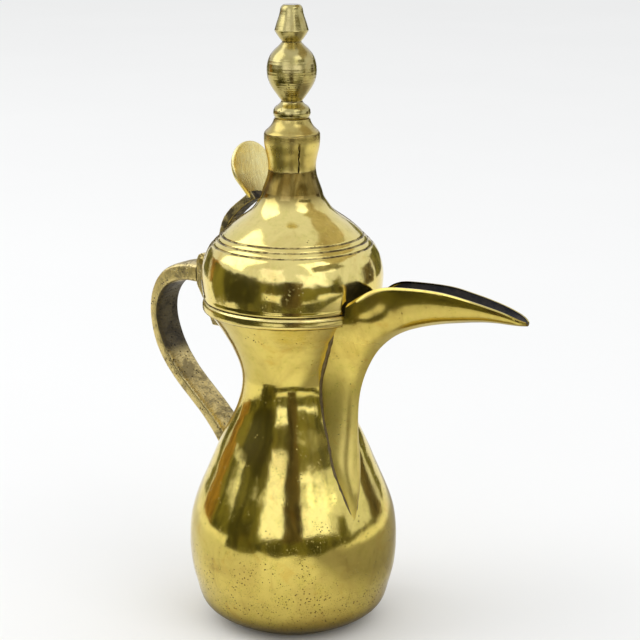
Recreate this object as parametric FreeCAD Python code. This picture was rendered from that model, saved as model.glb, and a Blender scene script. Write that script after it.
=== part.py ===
import FreeCAD, Part
import math
import os

# A brass coffee pot of the dallah kind: sheet body and spout, cast handle, hinged lid with a turned finial.
# Millimetres, +Z up, +X towards the spout, origin at the centre of the flat base.

V = FreeCAD.Vector
UP = V(0, 0, 1)
ACROSS = V(0, 1, 0)
INTO_BLOCK = V(-1, 0, 0)

# Body of beaten sheet
wall = 1.2
wall_count = 16
base_thickness = 1.6
foot_radius = 33.0
foot_turn_radius = 41.3
foot_turn_height = 4.0
heel_radius = 50.7
heel_height = 12.0
belly_low_radius = 55.9
belly_low_height = 30.0
belly_radius = 57.5
belly_height = 46.0
belly_high_radius = 53.0
belly_high_height = 72.0
shoulder_radius = 45.4
shoulder_height = 90.0
throat_radius = 31.3
throat_height = 120.0
waist_radius = 27.8
waist_height = 139.0
flare_radius = 36.6
flare_height = 162.0

# Rim band and mouth
rim_height = 182.0
band_height = 6.0
band_radius = 48.8
band_thickness = 3.0
band_round = 1.0

# Beak spout, one row for each station from the foot to the tip, measured from the band's outside and the rim:
# keel reach and height, open side reach and height, half width
spout_sheet = 1.0
spout_stations = [
    (4.4, -119.0, -6.8, -120.0, 2.4),
    (5.2, -100.0, -8.8, -100.0, 6.0),
    (2.0, -85.0, -14.8, -84.5, 10.0),
    (-0.6, -70.0, -21.8, -69.0, 9.0),
    (-2.0, -56.0, -26.8, -54.0, 8.0),
    (-1.2, -42.0, -27.8, -37.0, 8.5),
    (2.8, -29.5, -23.8, -19.0, 12.0),
    (9.2, -19.6, -14.8, -3.0, 16.0),
    (17.7, -11.7, -1.8, 6.0, 15.5),
    (28.9, -5.5, 13.2, 15.6, 11.0),
    (42.8, -0.7, 31.2, 18.8, 9.0),
    (58.2, 2.9, 50.2, 19.5, 8.3),
    (71.5, 5.4, 66.2, 18.0, 7.3),
    (84.6, 6.8, 81.2, 15.6, 5.8),
    (94.2, 7.3, 92.7, 12.9, 3.9),
    (100.7, 8.1, 100.4, 10.1, 1.8),
]
# Each station's lean about the pot's axis, in degrees
spout_lean_angles = [-14.5, -12.0, -9.0, -6.0, -3.5, -1.5, 0.0, 0.0, 0.0, 0.0, 0.0, 0.0, 0.0, 0.0, 0.0, 0.0]
cheek_fullness = [(0.10, 0.40), (0.42, 0.78)]

# Pour holes through the neck wall behind the spout
pour_hole_radius = 1.8
pour_hole_pitch = 6.0
pour_hole_rows = 3
pour_hole_rise = 9.0

# Lid
lid_gap = 0.3
lid_wall = 1.2
lid_edge_inset = 0.4
lid_edge_height = 3.0
lid_bulge = 0.8
lid_bulge_height = 14.0
lid_shoulder_radius = 45.1
lid_shoulder_height = 28.0
lid_cone_radius = 38.1
lid_cone_height = 35.7
lid_cone_top_radius = 22.1
lid_cone_top_height = 48.7
lid_spire_radius = 18.1
lid_spire_height = 53.7
lid_joint_radius = 16.2
lid_joint_height = 58.5
ring_heights = (30.4, 32.9, 35.2)
ring_width = 0.9
ring_depth = 0.5
lid_spout_clearance = 1.0

# Skirt that locates the lid in the mouth
skirt_clearance = 1.6
skirt_depth = 6.0
skirt_sheet = 1.0

# Wrapped sheet ferrule on the lid's spire
ferrule_waist_radius = 12.8
ferrule_waist_height = 14.0
ferrule_swell_radius = 14.4
ferrule_swell_height = 22.7
ferrule_shoulder_radius = 15.0
ferrule_shoulder_height = 30.6
ferrule_slope_radius = 12.0
ferrule_slope_height = 34.6
ferrule_cap_radius = 9.6
ferrule_height = 39.0

# Turned finial
finial_foot_radius = 8.8
bead_radius = 9.9
bead_height = 3.2
bead_slope_radius = 8.4
bead_slope_height = 6.5
bead_neck_radius = 5.7
bead_neck_height = 9.2
ball_low_radius = 10.6
ball_low_height = 16.5
ball_radius = 13.2
ball_height = 25.6
ball_high_radius = 10.4
ball_high_height = 34.9
ball_neck_radius = 5.0
ball_neck_height = 40.4
knop_radius = 9.0
knop_height = 46.2
finial_tip_radius = 4.7
finial_height = 59.7
stem_radius = 2.5
rove_radius = 6.0
rove_thickness = 1.4
stem_head_radius = 3.6
stem_head_height = 1.2

# Hinge behind the lid
hinge_offset = 7.4
hinge_rise = 14.0
pin_radius = 1.6
pin_clearance = 0.05
pin_head_radius = 2.6
pin_head_height = 1.2
knuckle_radius = 4.4
knuckle_width = 9.0
knuckle_clearance = 0.4
bracket_width = 18.0
bracket_back = 5.0
bracket_drop = 15.5
bracket_tab = 6.4
bracket_knee = 2.1
bracket_knee_drop = 5.3
bracket_heel_rise = 0.5
bracket_rivet_radius = 1.6
bracket_rivet_head = 2.8
bracket_rivet_spacing = 9.0
bracket_rivet_drop = 8.0
bracket_rivet_depth = 5.0
rivet_head_height = 1.2

# Cast handle strap
handle_width = 18.4
handle_round = 1.8
handle_top = 11.6
handle_outer = [
    (12.4, 10.4),
    (27.2, 3.2),
    (34.2, -8.4),
    (35.9, -20.2),
    (32.5, -37.6),
    (21.1, -54.8),
    (2.8, -71.2),
    (-8.6, -82.4),
]
handle_inner = [
    (10.4, 0.2),
    (23.0, -5.4),
    (29.3, -19.0),
    (26.0, -34.4),
    (12.4, -53.4),
    (-6.6, -70.0),
]
handle_foot_outer = (-19.6, -98.0)
handle_foot_inner = (-25.6, -89.0)

# Thumb lever on the lid
lever_outer = [(5.0, 8.0), (8.2, 16.0), (11.2, 24.5), (17.0, 31.4), (24.2, 37.2)]
lever_inner = [(13.0, 16.0), (16.0, 23.0), (21.0, 28.6), (27.2, 33.8)]
lever_tip_outer = (31.1, 42.6)
lever_tip_inner = (35.1, 38.6)
lever_rivet_radius = 1.4
lever_rivet_head = 2.4
lever_rivet_rises = (4.0, 11.0)
lever_rivet_depth = 2.4

# Teardrop thumb disc
disc_tip = (32.2, 37.0)
disc_lean = 12.0
disc_twist = 10.0
disc_radius = 13.3
disc_rise = 18.8
disc_tip_half_width = 3.6
disc_thickness = 2.2

# Derived heights and radii
band_bottom = rim_height - band_height
collar_radius = band_radius - band_thickness
lid_base = rim_height + lid_gap
joint_height = lid_base + lid_joint_height
cap_height = joint_height + ferrule_height
lid_edge_radius = band_radius - lid_edge_inset
lid_radius = lid_edge_radius + lid_bulge
hinge_x = -lid_radius - hinge_offset
hinge_z = rim_height + hinge_rise
bracket_reach = bracket_back - hinge_x


def flat(reach, height):
    """A point of a profile in the XZ plane."""
    return V(reach, 0, height)


def from_rim(reach, height):
    """A point of the spout's middle plane, measured from the band's outside and the rim."""
    return flat(band_radius + reach, rim_height + height)


def from_hinge(reach, height):
    """A point of the middle plane, measured from the hinge pin towards the spout and up."""
    return flat(hinge_x + reach, hinge_z + height)


def from_bracket(reach, height):
    """A point of the middle plane, measured outwards from the bracket's back and up from the rim."""
    return flat(-bracket_reach - reach, rim_height + height)


def from_cap(radius, height):
    """A point of the finial's profile, measured up from the ferrule's cap."""
    return flat(radius, cap_height + height)


def spline(points):
    """A smooth curve through points."""
    curve = Part.BSplineCurve()
    curve.interpolate(points)
    return curve


def split(curve, point):
    """The two parts of a curve before and after one of its points."""
    parameter = curve.parameter(point)
    before = curve.copy()
    before.segment(curve.FirstParameter, parameter)
    after = curve.copy()
    after.segment(parameter, curve.LastParameter)
    return before, after


def line(a, b):
    return Part.makeLine(a, b)


def turned(edges):
    """The solid of revolution of a closed profile."""
    face = Part.Face(Part.Wire(Part.__sortEdges__(edges)))
    return face.revolve(V(0, 0, 0), UP, 360)


def inner_points(curve, thickness, count):
    """Points one wall thickness inside a profile curve, without its two ends."""
    first = curve.FirstParameter
    last = curve.LastParameter
    points = []
    for index in range(1, count):
        parameter = first + (last - first) * index / count
        point = curve.value(parameter)
        along = curve.tangent(parameter)[0]
        points.append(point + V(-along.z, 0, along.x) * thickness)
    return points


def radius_at(curve, height):
    """The radius of a rising profile curve at a height."""
    low = curve.FirstParameter
    high = curve.LastParameter
    for _ in range(60):
        middle = (low + high) / 2
        if curve.value(middle).z < height:
            low = middle
        else:
            high = middle
    return curve.value(low).x


def slab(edges, width):
    """A profile in the XZ plane extruded to both sides of it."""
    face = Part.Face(Part.Wire(Part.__sortEdges__(edges)))
    face.translate(ACROSS * (-width / 2))
    return face.extrude(ACROSS * width)


def chain(points):
    """Straight edges through the points and back to the first."""
    return [line(a, b) for a, b in zip(points, points[1:] + points[:1])]


def export(shape, name):
    shape.exportStep("parts/" + name + ".step")
    print(name, round(shape.Volume, 1), shape.isValid(), len(shape.Solids))


os.makedirs("parts", exist_ok=True)

# Profile of the body in one sweep, divided at the waist
body_curve = spline(
    [
        flat(foot_radius, 0),
        flat(foot_turn_radius, foot_turn_height),
        flat(heel_radius, heel_height),
        flat(belly_low_radius, belly_low_height),
        flat(belly_radius, belly_height),
        flat(belly_high_radius, belly_high_height),
        flat(shoulder_radius, shoulder_height),
        flat(throat_radius, throat_height),
        flat(waist_radius, waist_height),
        flat(flare_radius, flare_height),
        flat(collar_radius, band_bottom),
    ]
)
belly_curve, neck_curve = split(body_curve, flat(waist_radius, waist_height))
foot_inside = flat(foot_radius, base_thickness)
waist_outside = flat(waist_radius, waist_height)
waist_inside = flat(waist_radius - wall, waist_height)

# Base disc let into the foot of the belly
base_disc = Part.makeCylinder(foot_radius, base_thickness)

# Belly beaten from one sheet
belly_inside = spline([foot_inside] + inner_points(belly_curve, wall, wall_count) + [waist_inside])
belly_edges = [
    belly_curve.toShape(),
    line(waist_outside, waist_inside),
    belly_inside.toShape(),
    line(foot_inside, flat(foot_radius, 0)),
]
body_belly = turned(belly_edges)

# Neck, butted to the belly at the waist, with a straight collar under the band
collar_inside = flat(collar_radius - wall, band_bottom)
neck_inside = spline([waist_inside] + inner_points(neck_curve, wall, wall_count) + [collar_inside])
neck_edges = [
    neck_curve.toShape(),
    line(flat(collar_radius, band_bottom), flat(collar_radius, rim_height)),
    line(flat(collar_radius, rim_height), flat(collar_radius - wall, rim_height)),
    line(flat(collar_radius - wall, rim_height), collar_inside),
    neck_inside.toShape(),
    line(waist_inside, waist_outside),
]
body_neck = turned(neck_edges)
for row in range(pour_hole_rows):
    for place in range(row + 1):
        side = (place - row / 2) * pour_hole_pitch
        height = waist_height + pour_hole_rise + row * pour_hole_pitch
        hole = Part.makeCylinder(pour_hole_radius, band_radius, V(0, side, height), V(1, 0, 0))
        body_neck = body_neck.cut(hole)

# Band round the rim
band_ring = Part.makeCylinder(band_radius, band_height, V(0, 0, band_bottom))
band_edges = [e for e in band_ring.Edges if isinstance(e.Curve, Part.Circle)]
rim_band = band_ring.makeFillet(band_round, band_edges)
rim_band = rim_band.cut(Part.makeCylinder(collar_radius, band_height, V(0, 0, band_bottom)))

# Everything the spout, handle and bracket have to stay outside of: body, band and the room the lid needs
lid_room = lid_radius + lid_spout_clearance
core = turned(
    [
        belly_curve.toShape(),
        neck_curve.toShape(),
        line(flat(collar_radius, band_bottom), flat(band_radius, band_bottom)),
        line(flat(band_radius, band_bottom), flat(band_radius, rim_height)),
        line(flat(band_radius, rim_height), flat(lid_room, rim_height)),
        line(flat(lid_room, rim_height), flat(lid_room, cap_height)),
        line(flat(lid_room, cap_height), flat(0, cap_height)),
        line(flat(0, cap_height), flat(0, 0)),
        line(flat(0, 0), flat(foot_radius, 0)),
    ]
)


def cheek_section(station, lean_angle, side):
    """The closed outline of one cheek's sheet at a station of the spout."""
    keel_x, keel_z, open_x, open_z, half = station
    keel = from_rim(keel_x, keel_z)
    depth_vector = from_rim(open_x, open_z) - keel
    depth = depth_vector.Length
    inward = depth_vector / depth
    outer = [keel]
    inner = [keel + inward * spout_sheet]
    for part, spread in cheek_fullness + [(1.0, 1.0)]:
        outer.append(keel + inward * depth * part + ACROSS * side * half * spread)
        inner_depth = spout_sheet + (depth - spout_sheet) * part
        inner.append(keel + inward * inner_depth + ACROSS * side * (half - spout_sheet) * spread)
    edges = [
        spline(outer).toShape(),
        line(outer[-1], inner[-1]),
        spline(inner[::-1]).toShape(),
        line(inner[0], outer[0]),
    ]
    wire = Part.Wire(edges)
    wire.rotate(V(0, 0, 0), UP, lean_angle)
    return wire


def spout_cheek(side):
    """One half of the spout, lofted from foot to tip and trimmed to the body."""
    placed = zip(spout_stations, spout_lean_angles)
    sections = [cheek_section(station, lean_angle, side) for station, lean_angle in placed]
    cheek = Part.makeLoft(sections, True, False)
    cheek = cheek.cut(core)
    return max(cheek.Solids, key=lambda solid: solid.Volume)


spout_left_cheek = spout_cheek(1)
spout_right_cheek = spout_cheek(-1)

# Hinge bracket: a cast block that hooks under the band, carries the handle and the two hinge lugs
hinge_point = flat(hinge_x, hinge_z)
lug_radius = knuckle_radius
lug_front = hinge_x + lug_radius
bracket_foot = band_bottom - bracket_drop
bracket_outline = chain(
    [
        flat(0, bracket_foot),
        flat(hinge_x + bracket_tab, bracket_foot),
        flat(hinge_x + bracket_knee, band_bottom - bracket_knee_drop),
        flat(-bracket_reach, rim_height + bracket_heel_rise),
        flat(-bracket_reach, hinge_z),
        flat(lug_front, hinge_z),
        flat(lug_front, rim_height),
        flat(0, rim_height),
    ]
)
bracket_block = slab(bracket_outline, bracket_width)
lugs = Part.makeCylinder(lug_radius, bracket_width, hinge_point - ACROSS * (bracket_width / 2), ACROSS)
slot_width = knuckle_width + 2 * knuckle_clearance
slot_radius = knuckle_radius + knuckle_clearance
slot_start = hinge_point - ACROSS * (slot_width / 2)
slot = Part.makeCylinder(slot_radius, slot_width, slot_start, ACROSS)
slot_box = Part.makeBox(bracket_reach, slot_width, slot_radius * 2)
slot_box.translate(V(-bracket_reach, -slot_width / 2, hinge_z))
slot_front = Part.makeBox(slot_radius * 2, slot_width, slot_radius)
slot_front.translate(V(hinge_x, -slot_width / 2, hinge_z - slot_radius))
pin_start = hinge_point - ACROSS * (bracket_width / 2)
pin_hole = Part.makeCylinder(pin_radius, bracket_width, pin_start, ACROSS)
hinge_bracket = bracket_block.fuse(lugs).removeSplitter()
hinge_bracket = hinge_bracket.cut(slot).cut(slot_box).cut(slot_front).cut(core).cut(pin_hole)
hinge_bracket = max(hinge_bracket.Solids, key=lambda solid: solid.Volume)


def blind_rivets(shell, block, curve, thickness, places, radius, head_radius, depth):
    """Drill a turned shell and the block outside it, and fill the holes with rivets headed inside."""
    rivets = []
    for side, height in places:
        skin = math.sqrt(radius_at(curve, height) ** 2 - side ** 2)
        start = V(-skin + thickness + rivet_head_height, side, height)
        head_room = thickness + rivet_head_height
        shank = Part.makeCylinder(radius, head_room + depth, start, INTO_BLOCK)
        head = Part.makeCylinder(head_radius, head_room, start, INTO_BLOCK)
        shell = shell.cut(shank)
        block = block.cut(shank)
        rivets.append(shank.fuse(head))
    rivets = [rivet.cut(shell).cut(block).removeSplitter() for rivet in rivets]
    rivets = [max(rivet.Solids, key=lambda solid: solid.Volume) for rivet in rivets]
    return shell, block, Part.makeCompound(rivets)


# Rivets that fix the bracket's foot to the neck
bracket_rivet_height = band_bottom - bracket_rivet_drop
bracket_places = [(side * bracket_rivet_spacing / 2, bracket_rivet_height) for side in (-1, 1)]
body_neck, hinge_bracket, bracket_rivets = blind_rivets(
    body_neck,
    hinge_bracket,
    neck_curve,
    wall,
    bracket_places,
    bracket_rivet_radius,
    bracket_rivet_head,
    bracket_rivet_depth,
)

# Hinge pin, peened over at both ends
hinge_pin = Part.makeCylinder(pin_radius, bracket_width, pin_start, ACROSS)
for end, way in ((pin_start, -1), (pin_start + ACROSS * bracket_width, 1)):
    head = Part.makeCone(pin_head_radius, pin_radius, pin_head_height, end, ACROSS * way)
    hinge_pin = hinge_pin.fuse(head)
hinge_pin = hinge_pin.removeSplitter()

# Cast handle strap from the bracket down to the belly
handle_back = [(0, handle_top)] + handle_outer + [handle_foot_outer]
handle_grip = [(0, bracket_heel_rise)] + handle_inner + [handle_foot_inner]
outer_line = spline([from_bracket(*place) for place in handle_back])
inner_line = spline([from_bracket(*place) for place in handle_grip])
handle_edges = [
    outer_line.toShape(),
    line(from_bracket(*handle_foot_outer), from_bracket(*handle_foot_inner)),
    inner_line.toShape(),
    line(from_bracket(0, bracket_heel_rise), from_bracket(0, handle_top)),
]
handle = slab(handle_edges, handle_width)
long_edges = [e for e in handle.Edges if isinstance(e.Curve, Part.BSplineCurve)]
handle = handle.makeFillet(handle_round, long_edges).cut(core)
handle = max(handle.Solids, key=lambda solid: solid.Volume)

# Lid dome with its engraved rings, open below
lid_outline = spline(
    [
        flat(lid_edge_radius, lid_base + lid_edge_height),
        flat(lid_radius, lid_base + lid_bulge_height),
        flat(lid_shoulder_radius, lid_base + lid_shoulder_height),
        flat(lid_cone_radius, lid_base + lid_cone_height),
        flat(lid_cone_top_radius, lid_base + lid_cone_top_height),
        flat(lid_spire_radius, lid_base + lid_spire_height),
        flat(lid_joint_radius, joint_height),
        flat(ferrule_waist_radius, joint_height + ferrule_waist_height),
        flat(ferrule_swell_radius, joint_height + ferrule_swell_height),
        flat(ferrule_shoulder_radius, joint_height + ferrule_shoulder_height),
    ]
)
lid_curve, ferrule_curve = split(lid_outline, flat(lid_joint_radius, joint_height))
lid_edge_inside = flat(lid_edge_radius - lid_wall, lid_base + lid_edge_height)
joint_inside = flat(lid_joint_radius - lid_wall, joint_height)
lid_inside = spline([lid_edge_inside] + inner_points(lid_curve, lid_wall, wall_count) + [joint_inside])
lid_edges = [
    line(flat(lid_edge_radius, lid_base), flat(lid_edge_radius, lid_base + lid_edge_height)),
    lid_curve.toShape(),
    line(flat(lid_joint_radius, joint_height), joint_inside),
    lid_inside.toShape(),
    line(lid_edge_inside, flat(lid_edge_radius - lid_wall, lid_base)),
    line(flat(lid_edge_radius - lid_wall, lid_base), flat(lid_edge_radius, lid_base)),
]
lid_dome = turned(lid_edges)
for ring_height in ring_heights:
    height = lid_base + ring_height
    ring_start = V(0, 0, height - ring_width / 2)
    ring_bottom = radius_at(lid_curve, height) - ring_depth
    groove = Part.makeCylinder(lid_radius, ring_width, ring_start)
    lid_dome = lid_dome.cut(groove.cut(Part.makeCylinder(ring_bottom, ring_width, ring_start)))

# Skirt: a flange inside the lid's edge and a short collar that locates the lid in the mouth
skirt_radius = collar_radius - wall - skirt_clearance
flange_radius = lid_edge_radius - lid_wall
lid_skirt = turned(
    chain(
        [
            flat(skirt_radius - skirt_sheet, rim_height - skirt_depth),
            flat(skirt_radius, rim_height - skirt_depth),
            flat(skirt_radius, lid_base),
            flat(flange_radius, lid_base),
            flat(flange_radius, lid_base + skirt_sheet),
            flat(skirt_radius - skirt_sheet, lid_base + skirt_sheet),
        ]
    )
)

# Ferrule wrapped from sheet, closed by a cap with a hole for the finial's stem
cap_underside = cap_height - lid_wall
cap_inside = flat(ferrule_cap_radius - lid_wall, cap_underside)
shoulder_curve = spline(
    [
        flat(ferrule_shoulder_radius, joint_height + ferrule_shoulder_height),
        flat(ferrule_slope_radius, joint_height + ferrule_slope_height),
        flat(ferrule_cap_radius, cap_height),
    ]
)
ferrule_wall = inner_points(ferrule_curve, lid_wall, wall_count)
ferrule_inside = spline([joint_inside] + ferrule_wall)
lid_ferrule = turned(
    [
        ferrule_curve.toShape(),
        shoulder_curve.toShape(),
        line(flat(ferrule_cap_radius, cap_height), flat(stem_radius, cap_height)),
        line(flat(stem_radius, cap_height), flat(stem_radius, cap_underside)),
        line(flat(stem_radius, cap_underside), cap_inside),
        line(cap_inside, ferrule_wall[-1]),
        ferrule_inside.toShape(),
        line(joint_inside, flat(lid_joint_radius, joint_height)),
    ]
)

# Finial turned from the solid: bead, ball and knop on one stem, peened over a rove inside the ferrule
rove_underside = cap_underside - rove_thickness
head_underside = rove_underside - stem_head_height
bead_curve = spline(
    [
        from_cap(finial_foot_radius, 0),
        from_cap(bead_radius, bead_height),
        from_cap(bead_slope_radius, bead_slope_height),
        from_cap(bead_neck_radius, bead_neck_height),
    ]
)
ball_curve = spline(
    [
        from_cap(bead_neck_radius, bead_neck_height),
        from_cap(ball_low_radius, ball_low_height),
        from_cap(ball_radius, ball_height),
        from_cap(ball_high_radius, ball_high_height),
        from_cap(ball_neck_radius, ball_neck_height),
    ]
)
finial = turned(
    [
        bead_curve.toShape(),
        ball_curve.toShape(),
        line(from_cap(ball_neck_radius, ball_neck_height), from_cap(knop_radius, knop_height)),
        line(from_cap(knop_radius, knop_height), from_cap(finial_tip_radius, finial_height)),
        line(from_cap(finial_tip_radius, finial_height), from_cap(0, finial_height)),
        line(from_cap(0, finial_height), flat(0, head_underside)),
        line(flat(0, head_underside), flat(stem_head_radius, head_underside)),
        line(flat(stem_head_radius, head_underside), flat(stem_head_radius, rove_underside)),
        line(flat(stem_head_radius, rove_underside), flat(stem_radius, rove_underside)),
        line(flat(stem_radius, rove_underside), from_cap(stem_radius, 0)),
        line(from_cap(stem_radius, 0), from_cap(finial_foot_radius, 0)),
    ]
)
finial_rove = turned(
    chain(
        [
            flat(stem_radius, rove_underside),
            flat(rove_radius, rove_underside),
            flat(rove_radius, cap_underside),
            flat(stem_radius, cap_underside),
        ]
    )
)

# Teardrop thumb disc, leaning back from its tip and a little twisted on the lever
flank = math.atan2(disc_rise, -disc_tip_half_width)
spread = math.asin(disc_radius / math.hypot(disc_tip_half_width, disc_rise))
touch_length = math.sqrt(disc_rise ** 2 + disc_tip_half_width ** 2 - disc_radius ** 2)
touch_side = disc_tip_half_width + touch_length * math.cos(flank - spread)
touch_rise = touch_length * math.sin(flank - spread)
disc_edges = [
    line(V(0, -disc_tip_half_width, 0), V(0, disc_tip_half_width, 0)),
    line(V(0, disc_tip_half_width, 0), V(0, touch_side, touch_rise)),
    Part.Arc(
        V(0, touch_side, touch_rise),
        V(0, 0, disc_rise + disc_radius),
        V(0, -touch_side, touch_rise),
    ).toShape(),
    line(V(0, -touch_side, touch_rise), V(0, -disc_tip_half_width, 0)),
]
thumb_disc = Part.Face(Part.Wire(disc_edges)).extrude(V(-disc_thickness, 0, 0))
thumb_disc.rotate(V(0, 0, 0), ACROSS, -disc_lean)
thumb_disc.rotate(V(0, 0, 0), UP, -disc_twist)
thumb_disc.translate(from_hinge(*disc_tip))

# Thumb lever: hinge knuckle, foot on the lid's back and arm up to the disc
lid_outside = turned(
    [
        line(flat(0, 0), flat(lid_edge_radius, 0)),
        line(flat(lid_edge_radius, 0), flat(lid_edge_radius, lid_base + lid_edge_height)),
        lid_curve.toShape(),
        line(flat(lid_joint_radius, joint_height), flat(0, joint_height)),
        line(flat(0, joint_height), flat(0, 0)),
    ]
)
lever_start_outer = from_hinge(-knuckle_radius / 2, 0)
lever_start_inner = flat(-lid_radius + lid_wall, hinge_z - knuckle_radius / 2)
lever_back = [from_hinge(*place) for place in lever_outer + [lever_tip_outer]]
lever_front = [from_hinge(*place) for place in lever_inner + [lever_tip_inner]]
lever_outer_line = spline([lever_start_outer] + lever_back)
lever_inner_line = spline([lever_start_inner] + lever_front)
lever_arm = slab(
    [
        lever_outer_line.toShape(),
        line(lever_back[-1], lever_front[-1]),
        lever_inner_line.toShape(),
        line(lever_start_inner, lever_start_outer),
    ],
    knuckle_width,
)
knuckle_start = hinge_point - ACROSS * (knuckle_width / 2)
knuckle = Part.makeCylinder(knuckle_radius, knuckle_width, knuckle_start, ACROSS)
knuckle_bore = Part.makeCylinder(pin_radius + pin_clearance, knuckle_width, knuckle_start, ACROSS)
lever_arm = lever_arm.fuse(knuckle).removeSplitter().cut(knuckle_bore).cut(lid_outside).cut(thumb_disc)
lever_arm = max(lever_arm.Solids, key=lambda solid: solid.Volume)
lever_places = [(0, hinge_z + rise) for rise in lever_rivet_rises]
lid_dome, lever_arm, lever_rivets = blind_rivets(
    lid_dome,
    lever_arm,
    lid_curve,
    lid_wall,
    lever_places,
    lever_rivet_radius,
    lever_rivet_head,
    lever_rivet_depth,
)

export(base_disc, "base_disc")
export(body_belly, "body_belly")
export(body_neck, "body_neck")
export(rim_band, "rim_band")
export(spout_left_cheek, "spout_left_cheek")
export(spout_right_cheek, "spout_right_cheek")
export(hinge_bracket, "hinge_bracket")
export(bracket_rivets, "bracket_rivets")
export(hinge_pin, "hinge_pin")
export(handle, "handle")
export(lid_dome, "lid_dome")
export(lid_skirt, "lid_skirt")
export(lid_ferrule, "lid_ferrule")
export(finial, "finial")
export(finial_rove, "finial_rove")
export(lever_arm, "lever_arm")
export(thumb_disc, "thumb_disc")
export(lever_rivets, "lever_rivets")
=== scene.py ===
import math

import bmesh
import bpy
import numpy as np
from mathutils import Matrix, Vector, noise

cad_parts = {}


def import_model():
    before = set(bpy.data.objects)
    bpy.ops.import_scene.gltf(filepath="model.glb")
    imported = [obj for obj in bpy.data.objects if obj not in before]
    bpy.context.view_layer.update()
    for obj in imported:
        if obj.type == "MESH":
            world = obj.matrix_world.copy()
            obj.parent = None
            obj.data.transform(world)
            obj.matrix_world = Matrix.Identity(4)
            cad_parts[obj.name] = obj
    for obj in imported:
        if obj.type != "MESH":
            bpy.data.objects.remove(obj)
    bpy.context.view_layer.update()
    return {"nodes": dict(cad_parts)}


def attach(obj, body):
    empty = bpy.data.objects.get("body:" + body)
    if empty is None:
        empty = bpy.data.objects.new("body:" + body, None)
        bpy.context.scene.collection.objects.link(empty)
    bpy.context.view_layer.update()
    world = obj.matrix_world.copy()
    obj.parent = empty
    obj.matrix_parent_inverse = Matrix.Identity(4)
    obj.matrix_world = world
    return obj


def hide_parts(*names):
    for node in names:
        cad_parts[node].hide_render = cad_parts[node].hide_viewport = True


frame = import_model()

scene = bpy.context.scene
scene.view_settings.view_transform = "Standard"


# Camera: it stands just over a metre away on the spout's side, a little higher than the finial, and looks
# slightly down on the pot. The lens is long, so upright lines hardly lean together.
camera_data = bpy.data.cameras.new("camera")
camera_data.lens = 112.5
camera_data.sensor_width = 36.0
camera = bpy.data.objects.new("camera", camera_data)
camera.location = (0.6583, -0.8185, 0.4411)
camera.rotation_euler = (math.radians(75.5), 0, math.radians(38))
scene.collection.objects.link(camera)
scene.camera = camera


# Studio: a floor of smooth pale board under a white sky, with a large soft lamp high on the left and a smaller
# one on the right. Cards of several tones stand round the pot and a mat lies under it, where only polished
# metal sees them, and give the brass something to mirror; the pale cards glow faintly blue. The mat carries
# painted shadows round the pot's foot and on its right, which the brass mirrors.
class Sock:
    """A shader socket that takes part in sums as a number does."""

    def __init__(self, finish, socket):
        self.finish = finish
        self.socket = socket

    def sum(self, operation, *terms):
        return self.finish.node("ShaderNodeMath", {"operation": operation}, dict(enumerate(terms)))

    def __abs__(self):
        return self.sum("ABSOLUTE", self)

    def __add__(self, other):
        return self.sum("ADD", self, other)

    def __sub__(self, other):
        return self.sum("SUBTRACT", self, other)

    def __rsub__(self, other):
        return self.sum("SUBTRACT", other, self)

    def __mul__(self, other):
        return self.sum("MULTIPLY", self, other)

    __radd__ = __add__
    __rmul__ = __mul__


class Finish:
    """One finish: its material and the nodes that make it."""

    def __init__(self, name):
        self.material = bpy.data.materials.new(name)
        self.material.use_nodes = True
        self.tree = self.material.node_tree
        self.shader = self.tree.nodes["Principled BSDF"]

    def node(self, kind, settings=None, sockets=None, out=0):
        """A node of any kind, its settings first and then its sockets; one of its outputs comes back."""
        made = self.tree.nodes.new(kind)
        for key, value in (settings or {}).items():
            setattr(made, key, value)
        for key, value in (sockets or {}).items():
            self.feed(made.inputs[key], value)
        return Sock(self, made.outputs[out])

    def feed(self, entry, value):
        """A socket linked to another one, or set to a value."""
        if isinstance(value, Sock):
            self.tree.links.new(value.socket, entry)
        else:
            entry.default_value = value

    def set(self, **sockets):
        """The shader's own sockets, written with _ for each space in their names."""
        for key, value in sockets.items():
            self.feed(self.shader.inputs[key.replace("_", " ")], value)

    def place(self):
        return self.node("ShaderNodeTexCoord", out="Object")

    def axis(self, vector, letter):
        return self.node("ShaderNodeSeparateXYZ", {}, {"Vector": vector}, letter)

    def along(self, vector, way):
        """How far a spot lies along a direction."""
        return self.node("ShaderNodeVectorMath", {"operation": "DOT_PRODUCT"}, {0: vector, 1: way}, "Value")

    def stretch(self, vector, scale):
        return self.node("ShaderNodeVectorMath", {"operation": "MULTIPLY"}, {0: vector, 1: scale})

    def noise(self, vector, scale, detail=4.0, rough=0.55, warp=0.0):
        return self.node("ShaderNodeTexNoise", {}, {"Vector": vector, "Scale": scale, "Detail": detail,
                                                    "Roughness": rough, "Distortion": warp}, "Fac")

    def cells(self, vector, scale):
        """How far a spot is from the nearest of many scattered points."""
        return self.node("ShaderNodeTexVoronoi", {}, {"Vector": vector, "Scale": scale}, "Distance")

    def ramp(self, value, low, high):
        """0 below low, 1 above high and a smooth slope between."""
        return self.node("ShaderNodeMapRange", {"interpolation_type": "SMOOTHSTEP"},
                         {"Value": value, "From Min": low, "From Max": high})

    def mix(self, share, first, second):
        return self.node("ShaderNodeMix", {"data_type": "RGBA"}, {0: share, 6: first, 7: second}, 2)

    def bump(self, height, depth):
        return self.node("ShaderNodeBump", {}, {"Strength": 1.0, "Distance": depth, "Height": height})


def piece(mesh):
    """A new object that shows a mesh and takes its name."""
    made = bpy.data.objects.new(mesh.name, mesh)
    scene.collection.objects.link(made)
    return made


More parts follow.
